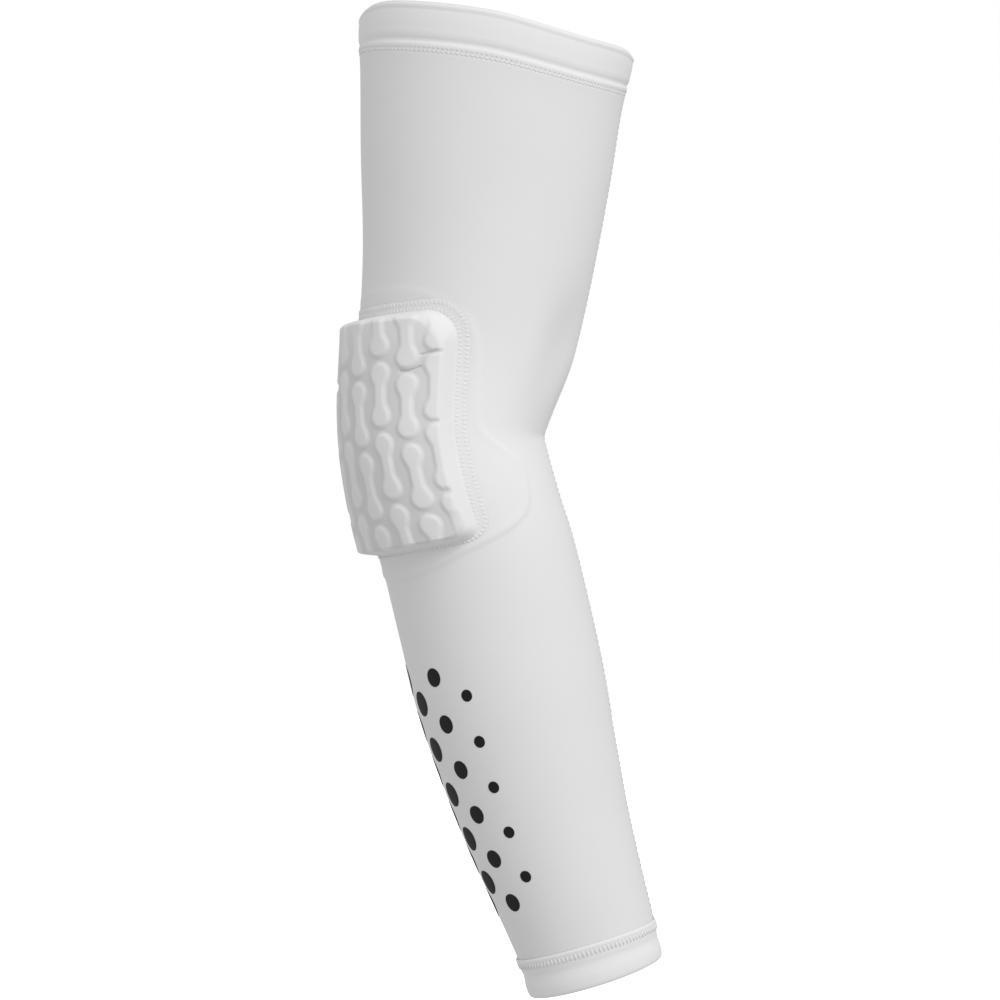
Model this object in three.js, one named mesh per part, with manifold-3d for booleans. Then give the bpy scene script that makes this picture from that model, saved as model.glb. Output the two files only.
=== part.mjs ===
// Padded elbow sleeve for sport, in the form that it keeps on a slightly bent arm.
// A tube of white stretch jersey has a folded hem at the upper arm and another at the wrist. A moulded foam
// pad with bone-shaped bosses is sewn over the elbow by its flange, and a lining patch lies behind it on the
// skin side. Units are millimetres and degrees. The arm bends in the XZ plane with the middle of the elbow at
// the origin, +Z runs up to the shoulder and the hollow of the elbow faces +X.

import * as THREE from "three";
import Module from "manifold-3d";

// Cloth and clearances
const CLOTH_THICKNESS = 1.2;
const SEAM_GAP = 0.4; // between pieces that are sewn together
const FACETS_AROUND = 36; // round the arm
const SHORT_STEP = 6; // between rings of facets at the elbow, growing away from it
const LONG_STEP = 22;
const STEP_GROWTH = 1.5;

// Sections of the arm from the upper rim to the wrist rim. Each is an ellipse whose centre lies at x, z and
// which is turned by tilt in the plane of the bend.
const SECTIONS = [
  { x: 18.0, z: 177.0, tilt: -8.5, halfWidth: 60.2, halfDepth: 49.6 },
  { x: 15.7, z: 156.9, tilt: -8.5, halfWidth: 57.5, halfDepth: 48.6 },
  { x: 12.6, z: 117.5, tilt: -8.0, halfWidth: 54.1, halfDepth: 47.0 },
  { x: 9.1, z: 73.5, tilt: -7.5, halfWidth: 49.6, halfDepth: 45.0 },
  { x: 5.2, z: 40.0, tilt: -4.6, halfWidth: 46.8, halfDepth: 44.0 },
  { x: 0.0, z: 0.0, tilt: 1.7, halfWidth: 42.3, halfDepth: 43.5 },
  { x: 4.7, z: -30.5, tilt: 8.0, halfWidth: 41.6, halfDepth: 42.5 },
  { x: 9.0, z: -46.2, tilt: 11.0, halfWidth: 41.6, halfDepth: 42.0 },
  { x: 16.5, z: -77.3, tilt: 12.6, halfWidth: 41.5, halfDepth: 41.0 },
  { x: 23.7, z: -108.5, tilt: 14.4, halfWidth: 41.0, halfDepth: 40.0 },
  { x: 32.0, z: -140.8, tilt: 15.3, halfWidth: 38.2, halfDepth: 37.0 },
  { x: 39.6, z: -167.0, tilt: 15.8, halfWidth: 35.4, halfDepth: 34.0 },
  { x: 48.4, z: -193.3, tilt: 16.2, halfWidth: 32.5, halfDepth: 31.0 },
  { x: 56.0, z: -215.7, tilt: 16.5, halfWidth: 30.3, halfDepth: 28.2 },
  { x: 60.3, z: -231.0, tilt: 17.3, halfWidth: 29.0, halfDepth: 26.5 },
];
const ELBOW_ROW = 5;

// Fold in the hollow of the elbow
const CREASE_DEPTH = 4;
const CREASE_LENGTH = 14;
const CREASE_SHARPNESS = 3;

// The upper rim sags between its inner side and its front, and rounds off at the two ends of its long axis
const RIM_SAG = 4;
const RIM_ROUNDING = { inner: 1.6, outer: 3.6 };
const RIM_ROUNDING_SHARPNESS = 6;
const RIM_ROUNDING_DEPTH = 19;
const RIM_SAG_DEPTH = 70;

// Hem bands: from is the distance from the rim, outer and inner are the lifts of the two faces off the
// arm's sections. Each band ends in a stitched ridge that laps over the end of the tube.
const UPPER_HEM = [
  { from: 0.0, outer: -0.4, inner: -1.0 },
  { from: 0.7, outer: 0.4, inner: -1.6 },
  { from: 3.0, outer: 0.8, inner: -1.8 },
  { from: 12.0, outer: 0.9, inner: -1.8 },
  { from: 15.4, outer: 0.5, inner: -1.8 },
  { from: 16.4, outer: 1.0, inner: -1.7 },
  { from: 16.7, outer: 1.2, inner: 0.4 },
  { from: 19.5, outer: 1.4, inner: 0.4 },
  { from: 20.4, outer: 0.9, inner: 0.4 },
];
const WRIST_HEM = [
  { from: 0.0, outer: -0.5, inner: -1.1 },
  { from: 0.7, outer: 0.3, inner: -1.7 },
  { from: 3.0, outer: 0.9, inner: -1.8 },
  { from: 8.0, outer: 0.9, inner: -1.8 },
  { from: 11.6, outer: 0.3, inner: -1.8 },
  { from: 12.8, outer: 1.0, inner: -1.7 },
  { from: 13.1, outer: 1.2, inner: 0.4 },
  { from: 16.0, outer: 1.4, inner: 0.4 },
  { from: 17.0, outer: 0.9, inner: 0.4 },
];
const HEM_STEP_ROW = 5; // the row where the inner face steps out over the end of the tube

// Elbow pad. Lengths across it are measured along the cloth under it, and lengths up it along the back of the
// elbow. Lifts are heights off the sleeve's surface.
const PAD_ANGLE = 148; // of the pad's middle round the arm, from +X towards -Y
const PAD_ALONG = 174.5; // of the pad's middle along the arm
const BACK_STRETCH = 1.12; // length of the back of the bent elbow over that of the arm's centre line
const PAD_TURN = 10; // lean of the pad's top edge from the arm's section, fading to none at its bottom edge
const PAD_FLARE = 0.0009; // how much the pad widens towards its bottom edge, for each millimetre
const PAD_LEAN_LEVEL = -0.5; // cosine of the angle round the arm where a leaning edge keeps its height
const PAD_UNDERSIDE = 0.7;
const FLANGE_TOP = 1.5;
const WALL_SHOULDER = 5.6;
const PAD_FACE = 7.1;
const BONE_TOP = 8.6;
const FLANGE_OUTLINE = { halfWidth: 49.0, top: 58.0, bottom: 56.5, topCorner: 17, bottomCorner: 13 };
const BASE_OUTLINE = { halfWidth: 44.0, top: 53.5, bottom: 51.8, topCorner: 15, bottomCorner: 9 };
const SHOULDER_OUTLINE = { halfWidth: 39.0, top: 50.0, bottom: 51.0, topCorner: 13, bottomCorner: 8 };
const FACE_OUTLINE = { halfWidth: 37.0, top: 47.0, bottom: 49.8, topCorner: 11, bottomCorner: 7 };
const CORNER_FACETS = 3;
const SIDE_FACETS = 7;
const UNDERSIDE_RINGS = 7;
const FACE_RINGS = 4;

// Bone-shaped bosses on the pad's face, in staggered columns. The outermost columns merge with the walls.
const FACE_SPREAD = 1.18; // width of the curved face over the width of the cloth under it
const BONE_COLUMNS = 8;
const BONE_ROWS = 5;
const COLUMN_PITCH = 12.7;
const EDGE_COLUMN_PULL = 2;
const ROW_PITCH = 31.2;
const FIRST_ROW = 14.1; // height of a bone in the mean of the columns
const COLUMN_STAGGER = 3.4;
const COLUMN_DRIFT = 0.8; // columns lie lower towards the far side
const BONE_LENGTH = 29.4;
const BULB_RADIUS = 5;
const NECK_HALF_WIDTH = 3;
const BONE_ROOT = 5.4;
const BONE_CHAMFER = 0.7;
const BULB_STATIONS = [25, 75, 120]; // degrees round the bulb from its tip

// Lining patch behind the pad: half its outline, from the top round one side to the bottom
const LINING_OUTLINE = [
  { across: 0, up: 66 },
  { across: 30, up: 62 },
  { across: 49, up: 48 },
  { across: 55, up: 18 },
  { across: 58, up: -2 },
  { across: 73, up: -20 },
  { across: 70, up: -38 },
  { across: 34, up: -59 },
  { across: 0, up: -66 },
];
const LINING_THICKNESS = 0.9;
const LINING_POINTS = 36;
const LINING_RINGS = 5;

const JERSEY_COLOUR = "#e2e2e6";
const HEM_COLOUR = "#e6e6ea";
const FOAM_COLOUR = "#d2d2d8";
const LINING_COLOUR = "#d9d9dd";

const radians = THREE.MathUtils.degToRad;

// Distance of each section along the arm's centre line
const ALONG = [0];
for (let row = 1; row < SECTIONS.length; row += 1) {
  const above = SECTIONS[row - 1];
  const here = SECTIONS[row];
  ALONG.push(ALONG[row - 1] + Math.hypot(here.x - above.x, here.z - above.z));
}
const ELBOW = ALONG[ELBOW_ROW];
const WRIST = ALONG[ALONG.length - 1];

// Slope of one column of the section table at a row, for a smooth curve through the rows
function slopeAt(column, row) {
  const span = (first) => ALONG[first + 1] - ALONG[first];
  const rise = (first) => (SECTIONS[first + 1][column] - SECTIONS[first][column]) / span(first);
  const last = SECTIONS.length - 1;
  if (row === 0 || row === last) {
    return rise(Math.min(row, last - 1));
  }
  return (rise(row - 1) * span(row) + rise(row) * span(row - 1)) / (span(row - 1) + span(row));
}

function sectionAt(along) {
  let row = 0;
  while (row < SECTIONS.length - 2 && along > ALONG[row + 1]) {
    row += 1;
  }
  const span = ALONG[row + 1] - ALONG[row];
  const t = (along - ALONG[row]) / span;
  const section = {};
  for (const column of Object.keys(SECTIONS[row])) {
    const start = SECTIONS[row][column];
    const end = SECTIONS[row + 1][column];
    const startSlope = slopeAt(column, row) * span;
    const endSlope = slopeAt(column, row + 1) * span;
    section[column] = start * (1 + 2 * t) * (1 - t) ** 2 + startSlope * t * (1 - t) ** 2
      + end * t * t * (3 - 2 * t) + endSlope * t * t * (t - 1);
  }
  return section;
}

// How far the upper rim hangs below its plane section
function rimDroop(along, angle) {
  const innerSide = Math.max(0, Math.cos(angle)) * Math.abs(Math.sin(angle)) * 2;
  const sag = RIM_SAG * innerSide * Math.max(0, 1 - along / RIM_SAG_DEPTH);
  const rounding = Math.cos(angle) > 0 ? RIM_ROUNDING.inner : RIM_ROUNDING.outer;
  const ends = Math.abs(Math.cos(angle)) ** RIM_ROUNDING_SHARPNESS;
  return sag + rounding * ends * Math.max(0, 1 - along / RIM_ROUNDING_DEPTH);
}

// A point on the sleeve at an angle in radians round the arm, lifted off the surface
function surfacePoint(along, angle, lift) {
  const { x, z, tilt, halfWidth, halfDepth } = sectionAt(along + rimDroop(along, angle));
  const cos = Math.cos(angle);
  const sin = Math.sin(angle);
  const normal = new THREE.Vector2(cos / halfWidth, sin / halfDepth).normalize();
  const nearElbow = Math.exp(-Math.abs(along - ELBOW) / CREASE_LENGTH);
  const out = lift - CREASE_DEPTH * nearElbow * Math.max(0, cos) ** CREASE_SHARPNESS;
  const across = halfWidth * cos + out * normal.x;
  const depth = halfDepth * sin + out * normal.y;
  const lean = radians(tilt);
  return new THREE.Vector3(x + across * Math.cos(lean), -depth, z + across * Math.sin(lean));
}

// A closed skin over rings of points. A looped skin joins its last ring to its first, and any other skin is
// closed by a fan over each end ring.
function skinOver(rings, looped) {
  const count = rings[0].length;
  const points = rings.flat();
  const triangles = [];
  const joints = looped ? rings.length : rings.length - 1;
  for (let ring = 0; ring < joints; ring += 1) {
    const here = ring * count;
    const next = ((ring + 1) % rings.length) * count;
    for (let k = 0; k < count; k += 1) {
      const after = (k + 1) % count;
      triangles.push(here + k, here + after, next + after);
      triangles.push(here + k, next + after, next + k);
    }
  }
  if (!looped) {
    const lastRing = (rings.length - 1) * count;
    const firstCentre = points.push(middleOf(rings[0])) - 1;
    const lastCentre = points.push(middleOf(rings[rings.length - 1])) - 1;
    for (let k = 0; k < count; k += 1) {
      const after = (k + 1) % count;
      triangles.push(firstCentre, after, k);
      triangles.push(lastCentre, lastRing + k, lastRing + after);
    }
  }
  const geometry = new THREE.BufferGeometry().setFromPoints(points);
  geometry.setIndex(triangles);
  return geometry;
}

function middleOf(ring) {
  const sum = ring.reduce((total, point) => total.add(point), new THREE.Vector3());
  return sum.divideScalar(ring.length);
}

// A wall round the arm. Its profile runs up the outer face and down the inner one.
function bandAround(profile) {
  const rings = [];
  for (let facet = 0; facet < FACETS_AROUND; facet += 1) {
    const angle = (facet / FACETS_AROUND) * 2 * Math.PI;
    rings.push(profile.map(({ along, lift }) => surfacePoint(along, angle, lift)));
  }
  return skinOver(rings, true);
}

// Distances along the arm for the tube's rings of facets, close together at the fold of the elbow
function tubeStations(top, bottom) {
  const above = [];
  const below = [];
  let step = SHORT_STEP;
  for (let away = step; ELBOW - away > top || ELBOW + away < bottom; away += step) {
    above.push(ELBOW - away);
    below.push(ELBOW + away);
    step = Math.min(LONG_STEP, step * STEP_GROWTH);
  }
  const inside = (along) => along > top + SHORT_STEP && along < bottom - SHORT_STEP;
  return [top, ...above.reverse().filter(inside), ELBOW, ...below.filter(inside), bottom];
}

function tubeGeometry() {
  const top = UPPER_HEM[HEM_STEP_ROW].from + SEAM_GAP;
  const bottom = WRIST - WRIST_HEM[HEM_STEP_ROW].from - SEAM_GAP;
  const stations = tubeStations(top, bottom);
  const inner = stations.map((along) => ({ along, lift: -CLOTH_THICKNESS }));
  const outer = stations.map((along) => ({ along, lift: 0 }));
  return bandAround([...outer.reverse(), ...inner]);
}

function hemGeometry(rows, rim, direction) {
  const outer = rows.map((row) => ({ along: rim + direction * row.from, lift: row.outer }));
  const inner = rows.map((row) => ({ along: rim + direction * row.from, lift: row.inner }));
  const profile = [...outer.reverse(), ...inner];
  return bandAround(direction > 0 ? profile : profile.reverse());
}

// A point of the pad: across towards the front of the arm, up towards the shoulder
function padPoint(across, up, lift) {
  const along = PAD_ALONG - up / BACK_STRETCH;
  const { halfWidth, halfDepth } = sectionAt(along);
  const reach = across * (1 - PAD_FLARE * up);
  const angle = radians(PAD_ANGLE) - (2 * reach) / (halfWidth + halfDepth);
  const heightShare = (up + BASE_OUTLINE.bottom) / (BASE_OUTLINE.top + BASE_OUTLINE.bottom);
  const lean = Math.tan(radians(PAD_TURN)) * heightShare * halfWidth;
  return surfacePoint(along + lean * (PAD_LEAN_LEVEL - Math.cos(angle)), angle, lift);
}

// A rectangle with round corners, counterclockwise from its right side
function roundedOutline({ halfWidth, top, bottom, topCorner, bottomCorner }) {
  const corners = [
    { across: halfWidth - topCorner, up: top - topCorner, radius: topCorner },
    { across: topCorner - halfWidth, up: top - topCorner, radius: topCorner },
    { across: bottomCorner - halfWidth, up: bottomCorner - bottom, radius: bottomCorner },
    { across: halfWidth - bottomCorner, up: bottomCorner - bottom, radius: bottomCorner },
  ];
  const cornerPoint = (index, turn) => {
    const { across, up, radius } = corners[index % corners.length];
    const angle = ((index + turn) * Math.PI) / 2;
    return new THREE.Vector2(across + radius * Math.cos(angle), up + radius * Math.sin(angle));
  };
  const points = [];
  for (let index = 0; index < corners.length; index += 1) {
    for (let facet = 0; facet < CORNER_FACETS; facet += 1) {
      points.push(cornerPoint(index, facet / CORNER_FACETS));
    }
    const sideStart = cornerPoint(index, 1);
    const sideEnd = cornerPoint(index + 1, 0);
    for (let facet = 0; facet < SIDE_FACETS; facet += 1) {
      points.push(sideStart.clone().lerp(sideEnd, facet / SIDE_FACETS));
    }
  }
  return points;
}

// A solid on the pad's place, skinned over rings that are outlines drawn in to a scale and raised to a lift
function padSolid(rows) {
  const ring = ({ outline, scale, lift }) =>
    outline.map((point) => padPoint(point.x * scale, point.y * scale, lift));
  return skinOver(rows.map(ring), false);
}

// Rings that fill the inside of an outline at one lift, from the middle outwards
function filledFace(outline, lift, count) {
  const rings = [];
  for (let ring = 1; ring <= count; ring += 1) {
    rings.push({ outline, scale: (ring - 0.5) / (count - 0.5), lift });
  }
  return rings;
}

const { Manifold, Mesh } = await loadBooleans();

async function loadBooleans() {
  const library = await Module();
  library.setup();
  return library;
}

function toSolid(geometry) {
  const vertProperties = new Float32Array(geometry.getAttribute("position").array);
  const triVerts = new Uint32Array(geometry.getIndex().array);
  return new Manifold(new Mesh({ numProp: 3, vertProperties, triVerts }));
}

function toGeometry(solid) {
  const mesh = solid.getMesh();
  const geometry = new THREE.BufferGeometry();
  geometry.setAttribute("position", new THREE.BufferAttribute(mesh.vertProperties, mesh.numProp));
  geometry.setIndex(new THREE.BufferAttribute(mesh.triVerts, 1));
  return geometry;
}

// Half-widths of a bone from its lower tip to its upper one: two round bulbs and a waisted neck
function boneStations() {
  const bulbCentre = BONE_LENGTH / 2 - BULB_RADIUS;
  const lower = BULB_STATIONS.map((degree) => ({
    up: -bulbCentre - BULB_RADIUS * Math.cos(radians(degree)),
    halfWidth: BULB_RADIUS * Math.sin(radians(degree)),
  }));
  const upper = lower.map(({ up, halfWidth }) => ({ up: -up, halfWidth }));
  return [...lower, { up: 0, halfWidth: NECK_HALF_WIDTH }, ...upper.reverse()];
}

function boneGeometry(acrossMiddle, upMiddle) {
  const ring = ({ up, halfWidth }) => {
    const crown = Math.max(halfWidth - BONE_CHAMFER, BONE_CHAMFER);
    const section = [
      [-halfWidth, BONE_ROOT],
      [-halfWidth, BONE_TOP - BONE_CHAMFER],
      [-crown, BONE_TOP],
      [crown, BONE_TOP],
      [halfWidth, BONE_TOP - BONE_CHAMFER],
      [halfWidth, BONE_ROOT],
    ];
    return section.map(([side, lift]) =>
      padPoint((acrossMiddle + side) / FACE_SPREAD, upMiddle + up, lift));
  };
  return skinOver(boneStations().map(ring), false);
}

// The column's place on the pad's face, counted from the front
function columnAcross(column) {
  const fromMiddle = (BONE_COLUMNS - 1) / 2 - column;
  const atEdge = column === 0 || column === BONE_COLUMNS - 1;
  return fromMiddle * COLUMN_PITCH - (atEdge ? Math.sign(fromMiddle) * EDGE_COLUMN_PULL : 0);
}

function padGeometry() {
  const flange = roundedOutline(FLANGE_OUTLINE);
  const base = roundedOutline(BASE_OUTLINE);
  const shoulder = roundedOutline(SHOULDER_OUTLINE);
  const face = roundedOutline(FACE_OUTLINE);
  const block = padSolid([
    ...filledFace(flange, PAD_UNDERSIDE, UNDERSIDE_RINGS),
    { outline: flange, scale: 1, lift: FLANGE_TOP },
    { outline: base, scale: 1, lift: FLANGE_TOP },
    { outline: shoulder, scale: 1, lift: WALL_SHOULDER },
    ...filledFace(face, PAD_FACE, FACE_RINGS).reverse(),
  ]);
  const faceColumn = toSolid(padSolid([
    ...filledFace(face, FLANGE_TOP, FACE_RINGS),
    ...filledFace(face, BONE_TOP + FLANGE_TOP, FACE_RINGS).reverse(),
  ]));
  let pad = toSolid(block);
  for (let column = 0; column < BONE_COLUMNS; column += 1) {
    const stagger = column % 2 === 0 ? COLUMN_STAGGER : -COLUMN_STAGGER;
    for (let row = 0; row < BONE_ROWS; row += 1) {
      const rowsUp = row - Math.floor(BONE_ROWS / 2);
      const up = FIRST_ROW + rowsUp * ROW_PITCH + stagger - COLUMN_DRIFT * column;
      const bone = toSolid(boneGeometry(columnAcross(column), up));
      pad = pad.add(bone.intersect(faceColumn));
    }
  }
  return toGeometry(pad);
}

function liningGeometry() {
  const side = LINING_OUTLINE.map(({ across, up }) => new THREE.Vector2(across, up));
  const otherSide = side.slice(1, -1).reverse().map(({ x, y }) => new THREE.Vector2(-x, y));
  const knots = [...side, ...otherSide].reverse().map(({ x, y }) => new THREE.Vector3(x, y, 0));
  const curve = new THREE.CatmullRomCurve3(knots, true);
  const outline = curve.getSpacedPoints(LINING_POINTS).slice(0, LINING_POINTS);
  const outerLift = -CLOTH_THICKNESS - SEAM_GAP;
  return padSolid([
    ...filledFace(outline, outerLift - LINING_THICKNESS, LINING_RINGS),
    ...filledFace(outline, outerLift, LINING_RINGS).reverse(),
  ]);
}

function addPiece(group, name, geometry, color, roughness) {
  const material = new THREE.MeshStandardMaterial({ color, roughness, metalness: 0 });
  const mesh = new THREE.Mesh(geometry, material);
  mesh.name = name;
  group.add(mesh);
}

const sleeve = new THREE.Group();
addPiece(sleeve, "sleeve_tube", tubeGeometry(), JERSEY_COLOUR, 0.9);
addPiece(sleeve, "upper_hem", hemGeometry(UPPER_HEM, 0, 1), HEM_COLOUR, 0.9);
addPiece(sleeve, "wrist_hem", hemGeometry(WRIST_HEM, WRIST, -1), HEM_COLOUR, 0.9);
addPiece(sleeve, "elbow_pad", padGeometry(), FOAM_COLOUR, 0.75);
addPiece(sleeve, "pad_lining", liningGeometry(), LINING_COLOUR, 0.95);

export default sleeve;
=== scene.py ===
import bpy
import numpy as np
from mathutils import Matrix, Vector


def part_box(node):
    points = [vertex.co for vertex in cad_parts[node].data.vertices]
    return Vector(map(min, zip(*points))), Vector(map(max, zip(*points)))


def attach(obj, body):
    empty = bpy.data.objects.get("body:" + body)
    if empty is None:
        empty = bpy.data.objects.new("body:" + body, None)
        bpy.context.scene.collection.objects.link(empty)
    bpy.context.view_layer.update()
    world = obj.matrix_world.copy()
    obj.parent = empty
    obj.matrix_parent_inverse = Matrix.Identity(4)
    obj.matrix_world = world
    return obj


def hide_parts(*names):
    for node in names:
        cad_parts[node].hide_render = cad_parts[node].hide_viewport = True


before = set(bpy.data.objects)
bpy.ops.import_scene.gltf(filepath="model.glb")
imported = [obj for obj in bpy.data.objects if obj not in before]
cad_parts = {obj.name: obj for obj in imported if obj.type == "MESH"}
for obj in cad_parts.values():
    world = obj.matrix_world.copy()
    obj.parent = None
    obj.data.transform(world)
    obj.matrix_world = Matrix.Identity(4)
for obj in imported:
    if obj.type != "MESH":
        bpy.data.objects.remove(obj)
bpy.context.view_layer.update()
MM = 0.001


# Lining patch. A second layer of knit lies against the skin behind the pad and keeps its seam off the elbow.
# It is cut to a shield shape that widens below the elbow, and the pad's stitching holds it.

# Sections of the arm from the upper rim to the wrist rim: ellipses with their centres at x, z, turned by tilt
ARM_SECTIONS = np.array([
    # x, z, tilt, half width, half depth
    (18.0, 177.0, -8.5, 60.2, 49.6),
    (15.7, 156.9, -8.5, 57.5, 48.6),
    (12.6, 117.5, -8.0, 54.1, 47.0),
    (9.1, 73.5, -7.5, 49.6, 45.0),
    (5.2, 40.0, -4.6, 46.8, 44.0),
    (0.0, 0.0, 1.7, 42.3, 43.5),
    (4.7, -30.5, 8.0, 41.6, 42.5),
    (9.0, -46.2, 11.0, 41.6, 42.0),
    (16.5, -77.3, 12.6, 41.5, 41.0),
    (23.7, -108.5, 14.4, 41.0, 40.0),
    (32.0, -140.8, 15.3, 38.2, 37.0),
    (39.6, -167.0, 15.8, 35.4, 34.0),
    (48.4, -193.3, 16.2, 32.5, 31.0),
    (56.0, -215.7, 16.5, 30.3, 28.2),
    (60.3, -231.0, 17.3, 29.0, 26.5),
])
ELBOW_ROW = 5


def distances_along(points):
    """Distance of each point of a broken line from its first one."""
    steps = np.linalg.norm(np.diff(points, axis=0), axis=1)
    return np.concatenate([[0.0], np.cumsum(steps)])


ARM_LENGTHS = distances_along(ARM_SECTIONS[:, :2])
ELBOW = ARM_LENGTHS[ELBOW_ROW]
WRIST = ARM_LENGTHS[-1]

# Fold in the hollow of the elbow, a short steep one in a long shallow one: depth, length
CREASES = ((3.0, 14.0), (1.8, 50.0))
CREASE_SHARPNESS = 2
CREASE_SOFTNESS = 12.0  # the fold is sharp at its middle and opens out round the arm

# The arm is a little narrower above the elbow and swells below it: distance past the elbow, length, swelling
ELBOW_SWELLS = ((-36.0, 28.0, -1.8), (28.0, 34.0, 3.0))
SWELL_SHARPNESS = 2

# Dents on both sides of the elbow's hollow, under the upper arm's muscle
DENT_DEPTH = 3.2
DENT_RISE = 42.0
DENT_LENGTH = 22.0
DENT_ANGLE = np.radians(56)

# The upper rim sags between its inner side and its front, and rounds off at the two ends of its long axis
RIM_SAG = 4.0
RIM_SAG_DEPTH = 70.0
RIM_SAG_SOFTNESS = 0.15
RIM_END_DROOPS = (4.0, 5.6)  # at the inner and the outer end
RIM_END_SHARPNESSES = (20, 12)
RIM_END_DEPTH = 19.0

# Place of the pad. Lengths across it are taken along the cloth under it, and lengths up it along the elbow's
# back, from its middle.
PAD_ANGLE = np.radians(148)
PAD_ALONG = 174.5
PAD_TOP = 53.5
PAD_BOTTOM = -51.8
PAD_TURN = np.radians(10)  # lean of its top edge, while its bottom edge follows the arm's section
PAD_LEAN_LEVEL = -0.5  # cosine round the arm where the leaning edges keep their height
PAD_FLARE = 0.0009  # share by which it narrows for each millimetre upwards
BACK_STRETCH = 1.12  # length along the elbow's back over length along the middle of the arm

# Half the patch's outline, from its top round one side to its bottom: across, up
LINING_SIDE = np.array([
    (0, 66), (30, 62), (49, 48), (54, 18), (56, -3), (72, -24), (69, -40), (34, -59), (0, -66),
], dtype=float)
LINING_OUTER_LIFT = -1.6
LINING_INNER_LIFT = -2.5
LINING_EDGE_ROUNDING = 0.3
LINING_POINTS = 180
LINING_RINGS = 24
LINING_CENTRE_SHARE = 0.01  # size of the innermost ring, which a cap closes


def curve_through(positions, rows, at):
    """Rows of a table read off between its own positions, on a smooth curve through them."""
    spans = np.diff(positions)[:, None]
    rises = np.diff(rows, axis=0) / spans
    middle = (rises[:-1] * spans[1:] + rises[1:] * spans[:-1]) / (spans[:-1] + spans[1:])
    slopes = np.vstack([rises[:1], middle, rises[-1:]])
    at = np.asarray(at, dtype=float)
    row = np.clip(np.searchsorted(positions, at) - 1, 0, len(positions) - 2)
    span = spans[row]
    t = (at - positions[row])[..., None] / span
    return (rows[row] * (1 + 2 * t) * (1 - t) ** 2 + slopes[row] * span * t * (1 - t) ** 2
            + rows[row + 1] * t * t * (3 - 2 * t) + slopes[row + 1] * span * t * t * (t - 1))


def closed_curve(knots, count):
    """Evenly spaced points on a smooth closed curve through the knots."""
    ring = np.vstack([knots[-2:], knots, knots[:3]])
    positions = distances_along(ring)
    return curve_through(positions, ring, np.linspace(positions[2], positions[-3], count, endpoint=False))


def arm_section(along):
    """Centre x and z, tilt and half sizes of the arm's section at a distance along it."""
    return np.moveaxis(curve_through(ARM_LENGTHS, ARM_SECTIONS, along), -1, 0)


def rim_droop(along, angle):
    """How far the upper rim hangs below its plane section."""
    cos = np.cos(angle)
    inner_side = (cos + np.hypot(cos, RIM_SAG_SOFTNESS)) * np.abs(np.sin(angle))
    sag = RIM_SAG * inner_side * np.maximum(0, 1 - along / RIM_SAG_DEPTH)
    end = np.where(cos > 0, *RIM_END_DROOPS) * np.abs(cos) ** np.where(cos > 0, *RIM_END_SHARPNESSES)
    return sag + end * np.maximum(0, 1 - along / RIM_END_DEPTH)


def sleeve_point(along, angle, lift):
    """A point in metres at an angle round the arm from +X towards -Y, lifted off the arm's section."""
    x, z, tilt, half_width, half_depth = arm_section(along + rim_droop(along, angle))
    cos, sin = np.cos(angle), np.sin(angle)
    steepness = np.hypot(cos / half_width, sin / half_depth)
    softness = CREASE_SOFTNESS * (1 - cos)
    from_fold = np.hypot(along - ELBOW, softness) - softness
    fold = sum(depth * np.exp(-from_fold / length) for depth, length in CREASES)
    out = lift - fold * np.maximum(0, cos) ** CREASE_SHARPNESS
    for past_elbow, length, swelling in ELBOW_SWELLS:
        near = np.exp(-((along - ELBOW - past_elbow) / length) ** 2)
        out = out + swelling * near * np.abs(sin) ** SWELL_SHARPNESS
    dent_share = np.minimum(np.abs(np.remainder(angle + np.pi, 2 * np.pi) - np.pi) / DENT_ANGLE, 1)
    near = np.exp(-((along - ELBOW + DENT_RISE) / DENT_LENGTH) ** 2)
    out = out - DENT_DEPTH * near * np.sin(np.pi * dent_share) ** 2
    across = half_width * cos + out * cos / half_width / steepness
    depth = half_depth * sin + out * sin / half_depth / steepness
    lean = np.radians(tilt)
    return np.stack([x + across * np.cos(lean), -depth, z + across * np.sin(lean)], axis=-1) * MM


def pad_lean(level, up):
    """How far the pad's level lines lean off the arm's sections, for each unit of cosine round the arm."""
    height_share = (up - PAD_BOTTOM) / (PAD_TOP - PAD_BOTTOM)
    return np.tan(PAD_TURN) * height_share * arm_section(level)[3]


def pad_place(across, up):
    """Distance along the arm and angle round it of a point of the pad's cloth."""
    level = PAD_ALONG - up / BACK_STRETCH
    section = arm_section(level)
    angle = PAD_ANGLE - 2 * across * (1 - PAD_FLARE * up) / (section[3] + section[4])
    return level + pad_lean(level, up) * (PAD_LEAN_LEVEL - np.cos(angle)), angle


def pad_point(across, up, lift):
    """A point in metres over the pad's cloth: across towards the arm's front, up towards the shoulder."""
    along, angle = pad_place(across, up)
    return sleeve_point(along, angle, lift)


def grid_faces(rows, columns, closed_rows=False, closed_columns=False):
    """Quads over a grid of points, and the row and column of each corner before they wrap round."""
    first_rows = np.arange(rows if closed_rows else rows - 1)
    first_columns = np.arange(columns if closed_columns else columns - 1)
    first_rows, first_columns = np.meshgrid(first_rows, first_columns, indexing="ij")
    corner_rows = first_rows.reshape(-1, 1) + np.array([0, 0, 1, 1])
    corner_columns = first_columns.reshape(-1, 1) + np.array([0, 1, 1, 0])
    return (corner_rows % rows) * columns + corner_columns % columns, corner_rows, corner_columns


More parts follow.
